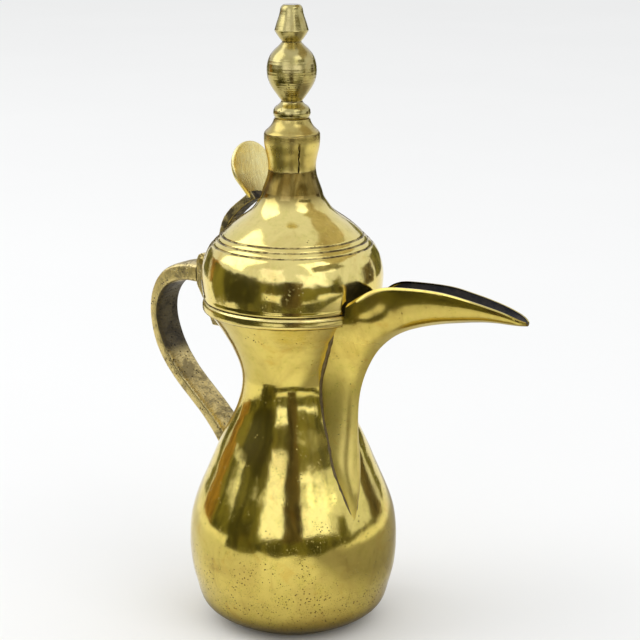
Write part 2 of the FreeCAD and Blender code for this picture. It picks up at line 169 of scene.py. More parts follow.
floor_half = 8
floor_drop = 0.0003
floor_finish = Finish("pale_board")
board = floor_finish.noise(floor_finish.place(), 3.0)
floor_finish.set(Base_Color=floor_finish.mix(board, (0.93, 0.898, 0.735, 1), (0.96, 0.926, 0.757, 1)),
                 Roughness=floor_finish.ramp(board, 0.2, 0.8) * 0.1 + 0.55, Specular_IOR_Level=0.0)
floor_mesh = bpy.data.meshes.new("floor")
floor_mesh.from_pydata([(-floor_half, -floor_half, 0), (floor_half, -floor_half, 0),
                        (floor_half, floor_half, 0), (-floor_half, floor_half, 0)], [], [(0, 1, 2, 3)])
floor_mesh.materials.append(floor_finish.material)
floor = piece(floor_mesh)
floor.location.z = -floor_drop

cool = (0.94, 0.98, 1.20)
world = bpy.data.worlds.new("sky")
world.use_nodes = True
sky = world.node_tree.nodes["Background"]
sky.inputs["Color"].default_value = (*cool, 1)
sky.inputs["Strength"].default_value = 0.90
scene.world = world

lamp_aim = Vector((0, 0, 0.12))
for name, spot, size, power in (("lamp_left", (-1.9, -1.5, 2.2), 2.6, 28.0),
                                ("lamp_right", (2.2, -0.4, 2.0), 1.8, 12.0)):
    lamp_data = bpy.data.lights.new(name, "AREA")
    lamp_data.size = size
    lamp_data.energy = power
    lamp_data.color = cool
    lamp = bpy.data.objects.new(name, lamp_data)
    lamp.location = spot
    lamp.rotation_euler = (lamp_aim - Vector(spot)).to_track_quat("-Z", "Y").to_euler()
    scene.collection.objects.link(lamp)

card_tones = {}
for tone, deep, light in (("olive", (0.050, 0.047, 0.008, 1), (0.27, 0.25, 0.060, 1)),
                          ("brown", (0.040, 0.029, 0.011, 1), (0.20, 0.145, 0.062, 1)),
                          ("grey", (0.12, 0.11, 0.060, 1), (0.42, 0.40, 0.28, 1)),
                          ("pale", (0.80, 0.78, 0.62, 1), (0.96, 0.93, 0.78, 1)),
                          ("tan", (0.40, 0.33, 0.20, 1), (0.70, 0.62, 0.45, 1)),
                          ("amber", (0.20, 0.10, 0.015, 1), (0.55, 0.33, 0.07, 1))):
    paint = Finish(tone + "_card")
    mottle = paint.noise(paint.stretch(paint.place(), (13, 13, 4)), 1.0, 6.0, 0.65, 0.8)
    paint.set(Base_Color=paint.mix(paint.ramp(mottle, 0.40, 0.66), deep, light), Roughness=0.9)
    card_tones[tone] = paint
card_tones["pale"].set(Emission_Color=(0.92, 1.0, 1.9, 1), Emission_Strength=0.6)

# By distance from the axis in metres: first and last angle, foot and top in metres, and tone of each card.
cards = {
    1.40: [(180, 206, 0.00, 0.50, "amber"), (204, 231, 0.00, 0.43, "olive"), (229, 248, 0.00, 0.26, "olive"),
           (231, 247, 0.34, 0.50, "grey"), (246, 268, 0.00, 0.50, "olive"), (266, 298, 0.00, 0.23, "olive"),
           (267, 298, 0.25, 1.10, "pale"), (296, 319, 0.00, 0.28, "brown"), (316, 364, 0.00, 0.25, "olive"),
           (317, 350, 0.27, 0.74, "pale"), (336, 382, 0.80, 1.40, "grey"), (0, 12, 0.00, 0.50, "olive"),
           (10, 50, 0.00, 0.12, "grey"), (48, 70, 0.00, 0.44, "brown"), (8, 130, 1.30, 3.40, "tan"),
           (76, 112, 0.00, 0.52, "olive"), (118, 150, 0.00, 0.40, "brown"), (154, 178, 0.00, 0.46, "olive")],
    0.30: [(236, 270, 0.002, 0.205, "olive"), (268, 275, 0.085, 0.205, "olive"),
           (297, 319, 0.075, 0.226, "brown")],
    0.20: [(334, 366, 0.163, 0.216, "olive")],
    0.15: [(205, 278, 0.138, 0.228, "olive"), (275, 303, 0.178, 0.222, "olive"),
           (299, 319, 0.134, 0.226, "brown"), (316, 336, 0.150, 0.206, "olive")]}
card_steps = 48
card_rises = 8
card_lowest = 0.002
torn_edge = 0.043
broad_wave = 0.07
fine_wave = 0.035


def hang(name, columns, finish):
    """A card from columns of points, which only polished metal sees."""
    tall = len(columns[0])
    faces = [(tall * k + r, tall * (k + 1) + r, tall * (k + 1) + r + 1, tall * k + r + 1)
             for k in range(len(columns) - 1) for r in range(tall - 1)]
    mesh = bpy.data.meshes.new(name)
    mesh.from_pydata([spot for column in columns for spot in column], [], faces)
    mesh.materials.append(finish.material)
    card = piece(mesh)
    card.visible_camera = False
    card.visible_diffuse = False
    card.visible_shadow = False


for reach, group in cards.items():
    for start, end, low, high, tone in group:
        columns = []
        for step in range(card_steps + 1):
            column = []
            for rise in range(card_rises + 1):
                ragged = noise.noise(Vector((start * 0.37, step * 0.25, rise * 0.4))) * (rise > 0 or low > 0)
                height = low + (high - low) * rise / card_rises + torn_edge * reach * ragged
                height = max(height, card_lowest)
                turn = math.radians(start + (end - start) * step / card_steps)
                turn += broad_wave * noise.noise(Vector((end * 0.21, height * 8.4 / reach, 2)))
                turn += fine_wave * noise.noise(Vector((end * 0.21, height * 40 / reach, 7)))
                column.append((reach * math.cos(turn), reach * math.sin(turn), height))
            columns.append(column)
        hang("card_%d_%d" % (100 * reach, start), columns, card_tones[tone])

to_camera = (0.6266, -0.7793)


def before(reach, aside, height):
    """A spot so far from the axis towards the camera, and so far aside from there."""
    return (to_camera[0] * reach - to_camera[1] * aside, to_camera[1] * reach + to_camera[0] * aside, height)


kerb_reach = 0.30
kerb_width = 2.4
kerb_rises = (0.001, 0.02, 0.04, 0.055, 0.068)
kerb_torn = 0.012
columns = []
for step in range(card_steps + 1):
    aside = kerb_width * (step / card_steps - 0.5)
    column = []
    for rise in kerb_rises:
        ragged = noise.noise(Vector((step * 0.9, rise * 30, 5))) * (rise > kerb_rises[0])
        column.append(before(kerb_reach, aside, rise + kerb_torn * ragged))
    columns.append(column)
hang("card_front", columns, card_tones["olive"])

mat_finish = Finish("mat")
spot = mat_finish.place()
far = mat_finish.node("ShaderNodeVectorMath", {"operation": "LENGTH"},
                      {0: mat_finish.stretch(spot, (1, 1, 0))}, "Value")
right = mat_finish.along(spot, (0.788, 0.616, 0))
blot = mat_finish.noise(spot, 14.0, 5.0, 0.6)
# Painted shadow: the mat is darker to the pot's right, where the pot's shadow falls, and a little darker to its left.
shade = mat_finish.ramp(right, 0.03, 0.13) + (1 - mat_finish.ramp(right, -0.20, -0.07)) * 0.35
shade = shade * (1 - mat_finish.ramp(far, 0.30, 0.55))
tone = mat_finish.mix(shade, (0.97, 0.93, 0.75, 1), (0.36, 0.33, 0.26, 1))
# Painted contact shadow: darker close round the pot's foot.
tone = mat_finish.mix((1 - mat_finish.ramp(far, 0.045, 0.078)) * 0.7, tone, (0.20, 0.18, 0.13, 1))
tone = mat_finish.mix(mat_finish.ramp(blot, 0.5, 0.75) * 0.2, tone, (0.45, 0.41, 0.30, 1))
mat_finish.set(Base_Color=tone, Roughness=0.9, Specular_IOR_Level=0.0)
mat_width = 2.6
mat_height = 0.0005
mat_steps = 24
mat_reaches = (-1.3, -0.8, -0.4, 0.0, 0.305)
hang("card_mat", [[before(reach, mat_width * (step / mat_steps - 0.5), mat_height) for reach in mat_reaches]
                  for step in range(mat_steps + 1)], mat_finish)


# Belly and neck: two brass sheets, each beaten to shape, butted and brazed at the waist, planished and polished.
# The hammer leaves shallow facets, and years of cleaning leave pits, stains and fine scratches; the pits crowd
# near the foot, and the colour grows darker towards the foot. The inside is tinned, dull and streaked.
MM = 0.001
weld = 1e-6


def smooth(points, count):
    """Points along the natural cubic curve through the given points."""
    points = np.array(points, float)
    lengths = np.linalg.norm(np.diff(points, axis=0), axis=1)
    along = np.concatenate([[0], np.cumsum(lengths)])
    size = len(points)
    left = np.eye(size)
    right = np.zeros(points.shape)
    for k in range(1, size - 1):
        before, after = lengths[k - 1], lengths[k]
        left[k, k - 1:k + 2] = before, 2 * (before + after), after
        right[k] = 6 * ((points[k + 1] - points[k]) / after - (points[k] - points[k - 1]) / before)
    bend = np.linalg.solve(left, right)
    places = np.linspace(0, along[-1], count)
    spans = np.clip(np.searchsorted(along, places, side="right") - 1, 0, size - 2)
    length = lengths[spans][:, None]
    a = ((along[spans + 1] - places)[:, None]) / length
    b = 1 - a
    return (a * points[spans] + b * points[spans + 1]
            + ((a ** 3 - a) * bend[spans] + (b ** 3 - b) * bend[spans + 1]) * length ** 2 / 6)


def offset(outline, thickness):
    """The outline moved inwards by a sheet's thickness."""
    along = np.gradient(outline, axis=0)
    along /= np.linalg.norm(along, axis=1)[:, None]
    return outline + np.stack([-along[:, 1], along[:, 0]], axis=1) * thickness


def beaten(spot, size, depth):
    """How far hammer blows of a size have driven the sheet in at a spot: between nothing and minus the depth."""
    wave = noise.noise(spot / size) + 0.55 * noise.noise(spot / (0.42 * size) + Vector((7, 3, 1)))
    return -depth * min(max(0.5 + 0.5 * wave, 0.0), 1.0)


def soften(mesh, sharp):
    """Smooth shading over a mesh, but for the edges above an angle in degrees."""
    mesh.polygons.foreach_set("use_smooth", [True] * len(mesh.polygons))
    mesh.set_sharp_from_angle(angle=math.radians(sharp))


def close(name, made, sharp=35):
    """A mesh from a bmesh, its doubled corners welded and its faces turned outwards."""
    bmesh.ops.remove_doubles(made, verts=made.verts, dist=weld)
    bmesh.ops.recalc_face_normals(made, faces=made.faces)
    mesh = bpy.data.meshes.new(name)
    made.to_mesh(mesh)
    made.free()
    soften(mesh, sharp)
    return mesh


def lathe(name, loop, around=256, size=16.0, depth=0.0, seam=None):
    """A closed outline of radii and heights in mm turned about the axis, with a hammered skin."""
    made = bmesh.new()
    rings = []
    for radius, height in loop:
        ring = []
        for step in range(around):
            turn = 2 * math.pi * step / around
            spot = Vector((radius * math.cos(turn), radius * math.sin(turn), height))
            push = beaten(spot, size, depth) if depth else 0.0
            push += seam(turn, radius, height) if seam else 0.0
            reach = radius + push if radius > 0.01 else 0.0
            ring.append(made.verts.new((reach * math.cos(turn) * MM, reach * math.sin(turn) * MM, height * MM)))
        rings.append(ring)
    for low, high in zip(rings, rings[1:] + rings[:1]):
        for step in range(around):
            after = (step + 1) % around
            made.faces.new((low[step], low[after], high[after], high[step]))
    bmesh.ops.dissolve_degenerate(made, edges=made.edges, dist=weld)
    return close(name, made)


def tint(colour, shares):
    """A colour with only a share of its red, green and blue."""
    return (*(part * share for part, share in zip(colour, shares)), 1)


def brass(name, clean, stain, shine, pits, low=0.0, stains=0.5, lines=(), tool=0.0, zones=()):
    """Polished brass: clean metal, brown stains and smears, fine scratches, pits that crowd below a height,
    dark lines at given heights, which are grime in cut grooves and painted shade in gaps between parts, the rings
    that a turning tool leaves, and zones of height that are darker or duller."""
    finish = Finish(name)
    spot = finish.place()
    height = finish.axis(spot, "Z")
    broad = finish.noise(spot, 34.0, 6.0, 0.62, 0.6)
    smear = finish.noise(finish.stretch(spot, (150, 150, 38)), 1.0, 6.0, 0.68, 0.8)
    cloud = finish.noise(spot, 160.0, 6.0, 0.68)
    scratch = finish.noise(finish.stretch(spot, (1100, 1100, 70)), 1.0, 3.0)
    crowd = finish.noise(spot, 85.0, 4.0, 0.7)
    foot = 1 - finish.ramp(height, low * 0.2, low) if low else 0.0
    coarse = finish.ramp(crowd + foot * 0.17, 0.55, 0.68)
    fine = finish.ramp(cloud + foot * 0.16, 0.55, 0.66)
    dot = (1 - finish.ramp(finish.cells(spot, 560.0), 0.13, 0.25)) * coarse * pits
    dust = (1 - finish.ramp(finish.cells(spot, 1150.0), 0.12, 0.28)) * fine * pits * 0.8
    flush = finish.ramp(finish.noise(spot, 58.0, 5.0, 0.66, 1.2), 0.54, 0.74) * stains
    tarnish = (finish.ramp(broad, 0.47, 0.74) * 0.75 + finish.ramp(smear, 0.52, 0.78) * 0.5) * stains
    tone = finish.mix(finish.ramp(cloud, 0.42, 0.75) * 0.55, clean, tint(clean, (0.80, 0.84, 0.62)))
    tone = finish.mix(flush, tone, tint(clean, (0.86, 0.70, 0.50)))
    tone = finish.mix(tarnish, tone, stain)
    tone = finish.mix(dot, tone, (0.045, 0.028, 0.008, 1))
    tone = finish.mix(dust, tone, (0.10, 0.065, 0.018, 1))
    dirt_and_gap_shade = 0.0
    # Dark lines: grime in engraved and turned grooves, and painted shade in the gaps between band, lid and neck.
    for line, half in lines:
        dirt_and_gap_shade = dirt_and_gap_shade + (1 - finish.ramp(abs(height - line * MM), half * 0.5 * MM, half * MM))
    if lines:
        dirt_and_gap_shade = dirt_and_gap_shade * (0.35 + 0.65 * finish.ramp(cloud, 0.38, 0.6))
        tone = finish.mix(dirt_and_gap_shade, tone, (0.105, 0.070, 0.026, 1))
    haze = 0.0
    for start, end, soft, dark, dull in zones:
        zone = finish.ramp(height, (start - soft) * MM, (start + soft) * MM)
        zone = zone * (1 - finish.ramp(height, (end - soft) * MM, (end + soft) * MM))
        zone = zone * (0.62 + 0.7 * smear)
        tone = finish.mix(zone * dark, tone, tint(stain, (0.36, 0.34, 0.25)))
        haze = haze + zone * dull
    relief = cloud * 0.30 + scratch * 0.08 - dot * 1.2 - dust * 0.5
    if tool:
        relief = relief + finish.noise(finish.stretch(spot, (25, 25, 1900)), 1.0, 3.0, 0.7) * tool
    rough = shine + tarnish * 0.10 + cloud * 0.05 + scratch * 0.04 + dot * 0.4 + dirt_and_gap_shade * 0.35 + haze
    finish.set(Base_Color=tone, Metallic=1.0, Roughness=rough, Normal=finish.bump(relief, 0.00014))
    return finish


# The dark line at 175.6 mm is painted shade under the band's overhang.
sheet_brass = brass("sheet_brass", (0.78, 0.625, 0.15, 1), (0.44, 0.29, 0.07, 1), 0.07, 0.95, 0.070, stains=0.65,
                    lines=[(175.6, 0.8)], zones=[(-60, 10, 14, 0.50, 0.10), (-60, 44, 18, 0.22, 0.04)])
tinned = Finish("tinned_inside")
drip = tinned.noise(tinned.stretch(tinned.place(), (60, 60, 14)), 1.0, 6.0, 0.65)
fleck = tinned.noise(tinned.place(), 420.0, 4.0, 0.6)
tinned.set(Base_Color=tinned.mix(tinned.ramp(drip, 0.38, 0.68), (0.36, 0.32, 0.25, 1), (0.11, 0.07, 0.03, 1)),
           Metallic=1.0, Roughness=0.40 + fleck * 0.2, Normal=tinned.bump(fleck, 0.0002))
wall = 1.2
waist = 139.0
waist_lap = 0.8
collar = 45.8
mouth = 44.6
mouth_top = 181.9
body_line = smooth([(33.0, 0.0), (41.3, 4.0), (47.2, 8.0), (50.6, 12.0), (53.3, 20.0), (55.9, 30.0), (57.4, 45.0),
                    (56.4, 60.0), (53.0, 72.0), (45.4, 90.0), (37.4, 108.0), (31.4, 120.0), (28.4, 131.0),
                    (27.8, 139.0), (30.6, 150.0), (36.5, 162.0), (45.7, 176.0)], 260)
belly_line = body_line[body_line[:, 1] <= waist]
neck_line = body_line[body_line[:, 1] >= waist - waist_lap]
belly_loop = np.concatenate([belly_line, offset(belly_line, wall)[::-2]])
neck_loop = np.concatenate([neck_line, [(collar, mouth_top), (mouth, mouth_top)], offset(neck_line, wall)[::-1]])
belly = piece(lathe("beaten_belly", belly_loop, size=15.0, depth=0.30))
neck = piece(lathe("beaten_neck", neck_loop, size=15.0, depth=0.24))
for made, node in ((belly, "body_belly"), (neck, "body_neck")):
    made.data.materials.append(sheet_brass.material)
    made.data.materials.append(tinned.material)
    for face in made.data.polygons:
        face.material_index = int(face.center.x * face.normal.x + face.center.y * face.normal.y < 0)
    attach(made, "pot")
    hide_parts(node)


# Rim band: a strip of brass rolled into a ring round the mouth, soldered on and dressed with a file.
# It stands proud of the neck and carries the lid's edge.
band_low = 176.0
band_top = 182.0
band_bore = 45.85
# Both dark lines are painted shade: under the lid's edge at the top and under the band at the bottom.
band_brass = brass("band_brass", (0.88, 0.72, 0.24, 1), (0.46, 0.31, 0.08, 1), 0.14, 0.5,
                   lines=[(182.2, 0.7), (175.8, 0.6)])
band_bow = smooth([(47.6, band_low), (48.5, 177.0), (48.8, 179.0), (48.5, 180.9), (47.5, band_top)], 20)
band_loop = np.concatenate([band_bow, [(band_bore, band_top), (band_bore, band_low)]])
band = piece(lathe("rolled_band", band_loop, depth=0.09))
band.data.materials.append(band_brass.material)
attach(band, "pot")
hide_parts("rim_band")


# Spout: two cheeks cut from sheet, bent to a trough and brazed along the keel, then soldered to belly and neck.
# The open beak rises from the rim to a point; its inside was never polished and has gone almost black.
# Six pour holes drilled through the neck behind it hold the grounds back.
def strip(name, sections, sharp=35, inside=None):
    """A closed skin over a row of closed sections, capped at both ends; its inside takes the second finish."""
    made = bmesh.new()
    rings = [[made.verts.new(Vector(spot) * MM) for spot in section] for section in sections]
    for first, second in zip(rings, rings[1:]):
        for k in range(len(first)):
            after = (k + 1) % len(first)
            face = made.faces.new((first[k], first[after], second[after], second[k]))
            face.material_index = 1 if inside and inside < k < len(first) - 1 else 0
    made.faces.new(rings[0][::-1])
    made.faces.new(rings[-1])
    return close(name, made, sharp)


def settle(target):
    """The target's modifiers worked into its mesh."""
    bpy.context.view_layer.update()
    mesh = bpy.data.meshes.new_from_object(target.evaluated_get(bpy.context.evaluated_depsgraph_get()))
    target.modifiers.clear()
    target.data = mesh
    return mesh


crumb_faces = 40


def cut(target, tool):
    """The tool's room taken out of the target, without the crumbs that a cut can leave."""
    knife = target.modifiers.new("cut", "BOOLEAN")
    knife.operation = "DIFFERENCE"
    knife.solver = "EXACT"
    knife.object = tool
    mesh = settle(target)
    made = bmesh.new()
    made.from_mesh(mesh)
    bmesh.ops.dissolve_degenerate(made, edges=made.edges, dist=2 * weld)
    bmesh.ops.triangulate(made, faces=made.faces)
    left = set(made.faces)
    while left:
        shell = [left.pop()]
        for face in shell:
            joined = [edge for edge in face.edges if len(edge.link_faces) == 2]
            near = {other for edge in joined for other in edge.link_faces} & left
            left -= near
            shell.extend(near)
        if len(shell) < crumb_faces:
            bmesh.ops.delete(made, geom=shell, context="FACES")
    made.to_mesh(mesh)
    made.free()
    soften(mesh, 35)


hole_radius = 1.8 * MM
drill_length = 24 * MM
drill_reach = 32
drill = bmesh.new()
for height, aside in ((148, 0), (154, -3), (154, 3), (160, -6), (160, 0), (160, 6)):
    spot = Matrix.Translation(Vector((drill_reach, aside, height)) * MM)
    bmesh.ops.create_cone(drill, cap_ends=True, segments=24, radius1=hole_radius, radius2=hole_radius,
                          depth=drill_length, matrix=spot @ Matrix.Rotation(math.pi / 2, 4, "Y"))
drills = piece(close("drills", drill))
cut(neck, drills)
bpy.data.objects.remove(drills)

let_in = 0.5
band_room = 48.4
lid_room = 50.2
room_top = 270.0
room_line = body_line - np.array([let_in, 0.0])
room_loop = np.concatenate([room_line, [(band_room, band_low), (band_room, band_top), (lid_room, band_top),
                                        (lid_room, room_top), (0.0, room_top), (0.0, 0.0)]])
room = piece(lathe("room", room_loop, around=192))

# From the foot to the tip: x and z of the keel, x and z of the open edge, half the width, and the lean in degrees.
spout_rows = [(53.2, 63.0, 42.0, 62.0, 2.4, -14.5), (54.0, 82.0, 40.0, 82.0, 6.0, -12.0),
              (50.8, 97.0, 34.0, 97.5, 10.0, -9.0), (48.2, 112.0, 27.0, 113.0, 9.0, -6.0),
              (46.8, 126.0, 22.0, 128.0, 8.0, -3.5), (47.6, 140.0, 21.0, 145.0, 8.5, -1.5),
              (51.6, 152.5, 25.0, 163.0, 12.0, 0.0), (58.0, 162.4, 34.0, 179.0, 16.0, 0.0),
              (66.5, 170.3, 47.0, 188.0, 15.5, 0.0), (77.7, 176.5, 62.0, 197.6, 11.0, 0.0),
              (91.6, 181.3, 80.0, 200.8, 9.0, 0.0), (107.0, 184.9, 99.0, 201.5, 8.3, 0.0),
              (120.3, 187.4, 115.0, 200.0, 7.3, 0.0), (133.4, 188.8, 130.0, 197.6, 6.3, 0.0),
              (143.0, 189.3, 141.5, 194.9, 5.0, 0.0), (147.6, 189.8, 147.0, 193.0, 3.5, 0.0),
              (149.5, 190.1, 149.2, 192.1, 1.8, 0.0)]
spout_path = smooth(spout_rows, 150)
spout_sheet = 1.0
beak_start = 150
beak_blend = 22
cheek_points = 20


def cheek_line(row, side, inside):
    """Points from keel to edge on one face of a cheek at one place along the spout; the beak's are fuller."""
    keel_x, keel_z, open_x, open_z, half, lean = row
    keel = Vector((keel_x, 0, keel_z))
    depth = Vector((open_x, 0, open_z)) - keel
    inward = depth.normalized()
    full = half - spout_sheet * inside
    start = spout_sheet * inside
    beak = min(max((keel_z - beak_start) / beak_blend, 0.0), 1.0)
    marks = [(0.0, 0.0), (0.10, 0.40 + 0.02 * beak), (0.42, 0.78 + 0.07 * beak), (0.70, 0.905 + 0.08 * beak),
             (0.95, 0.985 + 0.015 * beak), (1.0, 0.93)]
    knots = []
    for part, wide in marks:
        deep = start + (depth.length - start) * part
        knots.append(keel + inward * deep + Vector((0, side * full * wide, 0)))
    turn = Matrix.Rotation(math.radians(lean), 3, "Z")
    points = [turn @ Vector(spot) for spot in [*smooth(knots[:-1], cheek_points), knots[-1]]]
    return [spot + spot.normalized() * beaten(spot, 13.0, 0.20) for spot in points]


spout_brass = brass("spout_brass", (0.85, 0.68, 0.165, 1), (0.46, 0.29, 0.06, 1), 0.08, 0.7, stains=0.6,
                    zones=[(50, 168, 8, 0.0, 0.24), (172, 230, 5, 0.30, 0.01)])
black_inside = Finish("blackened_brass")
soot = black_inside.noise(black_inside.place(), 160.0, 6.0, 0.65)
crust = black_inside.noise(black_inside.place(), 900.0, 3.0)
tone = black_inside.mix(black_inside.ramp(soot, 0.35, 0.8), (0.012, 0.011, 0.009, 1), (0.07, 0.055, 0.03, 1))
black_inside.set(Base_Color=tone, Metallic=black_inside.ramp(soot, 0.5, 0.9) * 0.5, Roughness=0.55 + crust * 0.25,
                 Normal=black_inside.bump(soot * 0.5 + crust * 0.5, 0.0003))
for side, word in ((1, "left"), (-1, "right")):
    sections = [cheek_line(row, side, 0) + cheek_line(row, side, 1)[::-1] for row in spout_path]
    cheek = piece(strip("beak_" + word, sections, inside=cheek_points + 1))
    cheek.data.materials.append(spout_brass.material)
    cheek.data.materials.append(black_inside.material)
    cut(cheek, room)
    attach(cheek, "pot")
    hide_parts("spout_%s_cheek" % word)


# Solder: soft metal run along both seams where the cheeks meet the belly and neck, and left as it set.
# It is a dull, lumpy fillet, a little wider towards the band, that tapers off at both ends.
solder_finish = Finish("grey_solder")
lump = solder_finish.noise(solder_finish.place(), 300.0, 5.0)
solder_finish.set(Base_Color=solder_finish.mix(lump, (0.05, 0.036, 0.016, 1), (0.34, 0.26, 0.12, 1)), Metallic=1.0,
                  Roughness=0.35 + lump * 0.3, Normal=solder_finish.bump(lump, 0.0004))
seam_end = 174.5
seam_points = 120
seam_last = seam_points - 1
seam_corners = 10


def seam_line(side):
    """Where a cheek's outer face runs into the body, from the foot of the spout up to the band."""
    spots = []
    for row in spout_path:
        line = cheek_line(row, side, 0)
        gaps = [math.hypot(spot.x, spot.y) - np.interp(spot.z, body_line[:, 1], body_line[:, 0]) for spot in line]
        for near, far, first, second in zip(line, line[1:], gaps, gaps[1:]):
            if first > 0 >= second and near.z < seam_end:
                spots.append(near.lerp(far, first / (first - second)))
                break
    return spots


for side, word in ((1, "left"), (-1, "right")):
    seam = smooth(seam_line(side)[::4], seam_points)
    sections = []
    for k, spot in enumerate(seam):
        spot = Vector(spot)
        along = Vector(seam[min(k + 1, seam_last)] - seam[max(k - 1, 0)]).normalized()
        out = Vector((spot.x, spot.y, 0)).normalized()
        across = along.cross(out).normalized()
        taper = min(1.0, 0.15 + k / 8, 0.15 + (seam_last - k) / 8)
        thick = (0.6 + k / 170 + 0.5 * noise.noise(spot * 0.22)) * taper
        turns = [2 * math.pi * step / seam_corners for step in range(seam_corners)]
        sections.append([spot - out * 0.25 + (across * math.cos(turn) * 1.25 + out * math.sin(turn) * 0.8) * thick
                         for turn in turns])
    solder = piece(strip("spout_solder_" + word, sections, 60))
    solder.data.materials.append(solder_finish.material)
    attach(solder, "pot")


# Handle: a flat strap cast in sand, hardly dressed, brazed to the bracket above and to the belly below.
# Its skin is pitted and brown, worn to yellow along the edges and where the hand holds it.
def cast(name, clean, skin, shine, wear, shade):
    """Cast brass as it left the sand: grey-brown pitted skin, rubbed bright on the high spots, and painted shade,
    near black, on the side towards the pot, from the first height in shade to the second."""
    finish = Finish(name)
    spot = finish.place()
    broad = finish.noise(spot, 90.0, 6.0, 0.7, 0.5)
    grain = finish.noise(spot, 800.0, 4.0, 0.6)
    marks = finish.noise(finish.stretch(spot, (1500, 260, 420)), 1.0, 3.0, 0.6)
    crowd = finish.ramp(finish.noise(spot, 140.0, 3.0), 0.45, 0.60)
    pit = (1 - finish.ramp(finish.cells(spot, 480.0), 0.12, 0.34)) * crowd
    edge = finish.ramp(finish.node("ShaderNodeNewGeometry", out="Pointiness"), 0.50, 0.57)
    rubbed = finish.ramp(broad + edge * 0.35 + marks * 0.3, 0.80 - wear, 1.02 - wear)
    tone = finish.mix(rubbed, skin, clean)
    tone = finish.mix(pit * 0.85, tone, (0.035, 0.026, 0.012, 1))
    # Painted shade: the face towards the pot is painted near black above a height, where it lies in shadow.
    facing = finish.axis(finish.node("ShaderNodeNewGeometry", out="Normal"), "X")
    above = finish.ramp(finish.axis(spot, "Z") + broad * 0.006, shade[0] * MM, shade[1] * MM)
    dark = finish.ramp(facing, 0.25, 0.6) * above
    tone = finish.mix(dark * 0.9, tone, finish.mix(grain, (0.018, 0.017, 0.015, 1), (0.09, 0.08, 0.065, 1)))
    finish.set(Base_Color=tone, Metallic=1.0,
               Roughness=shine - rubbed * 0.14 + grain * 0.14 + pit * 0.2 + dark * 0.15,
               Normal=finish.bump(grain * 0.4 + broad * 0.5 + marks * 0.5 - pit, 0.0005))
    return finish


# The handle's face towards the pot is painted as shade above 138 to 146 mm.
cast_brass = cast("cast_brass", (0.80, 0.64, 0.25, 1), (0.36, 0.29, 0.125, 1), 0.38, 0.28, (138, 146))
handle_half = 9.2
handle_edge = 2 / 5.0
handle_corners = 36
handle_back = smooth([(-61.6, 193.6), (-74.0, 192.4), (-88.8, 185.2), (-95.8, 173.6), (-97.5, 161.8), (-94.1, 144.4),
                      (-82.7, 127.2), (-64.4, 110.8), (-53.0, 99.6), (-42.0, 84.0)], 120)
handle_grip = smooth([(-61.6, 182.5), (-72.0, 182.2), (-84.6, 176.6), (-90.9, 163.0), (-87.6, 147.6), (-74.0, 128.6),
                      (-55.0, 112.0), (-36.0, 93.0)], 120)
sections = []
for outer, inner in zip(handle_back, handle_grip):
    middle = (outer + inner) / 2
    across = (outer - inner) / 2
    ring = []
    for step in range(handle_corners):
        turn = 2 * math.pi * step / handle_corners
        u = math.copysign(abs(math.cos(turn)) ** handle_edge, math.cos(turn))
        v = math.copysign(abs(math.sin(turn)) ** handle_edge, math.sin(turn))
        spot = Vector((middle[0] + across[0] * u, handle_half * v, middle[1] + across[1] * u))
        out = Vector((across[0] * u, handle_half * v * 0.3, across[1] * u)).normalized()
        ring.append(spot + out * beaten(spot, 7.0, 0.22))
    sections.append(ring)
handle = piece(strip("cast_strap", sections, 50))
handle.data.materials.append(cast_brass.material)
cut(handle, room)
bpy.data.objects.remove(room)
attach(handle, "pot")
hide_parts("handle")


# Lid: one sheet beaten to a dome and drawn up into a spire, with three rings engraved on a turning wheel.
# It is polished like the belly and shows the same hammer marks.
lid_foot = 182.35
lid_line = smooth([(48.4, 185.3), (49.2, 196.3), (48.0, 203.0), (45.1, 210.3), (40.0, 216.0), (35.7, 220.3),
                   (28.2, 226.3), (21.0, 232.0), (19.2, 234.6), (17.0, 238.2), (16.2, 240.8)], 260)
lid_rings = (212.7, 215.2, 217.5)
ring_depth = 0.45
ring_half = 0.48
for ring in lid_rings:
    lid_line[:, 0] -= ring_depth * np.exp(-((lid_line[:, 1] - ring) / ring_half) ** 2)
lid_lip = smooth([(47.4, lid_foot), (48.0, 182.6), (48.35, 183.3), (48.4, 185.3)], 12)[:-1]
lid_loop = np.concatenate([lid_lip, lid_line, offset(lid_line, wall)[::-3], [(47.2, lid_foot)]])
# The rings hold grime in their engraved grooves, and the line at 182.1 mm is painted shade in the gap over the band.
# The zone from 237 to 256 mm is patina in the spire's hollow, where polish doesn't reach, and partly painted shade.
lid_brass = brass("lid_brass", (0.86, 0.70, 0.215, 1), (0.48, 0.31, 0.07, 1), 0.07, 0.6,
                  lines=[(ring, 0.52) for ring in lid_rings] + [(182.1, 0.9)], zones=[(237, 256, 5, 0.95, 0.06)])
lid = piece(lathe("beaten_lid", lid_loop, size=12.0, depth=0.26))
lid.data.materials.append(lid_brass.material)
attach(lid, "lid")
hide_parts("lid_dome")


# Ferrule: a tube wrapped from sheet with an open seam at the front, its shoulder worked in over the finial's foot.
# The seam was only butted and soldered, and has opened to a dark crooked line.
seam_turn = math.radians(324.5)
seam_low = 252.5
seam_top = 268
seam_half = 0.32


def butt_seam(turn, radius, height):
    """The seam's narrow furrow on the outer face, in mm of depth."""
    if not seam_low < height < seam_top or radius < 11.5:
        return 0.0
    off = radius * (turn - seam_turn) - 1.1 * noise.noise(Vector((height * 0.22, 1, 1)))
    return -0.8 * math.exp(-(off / seam_half) ** 2)


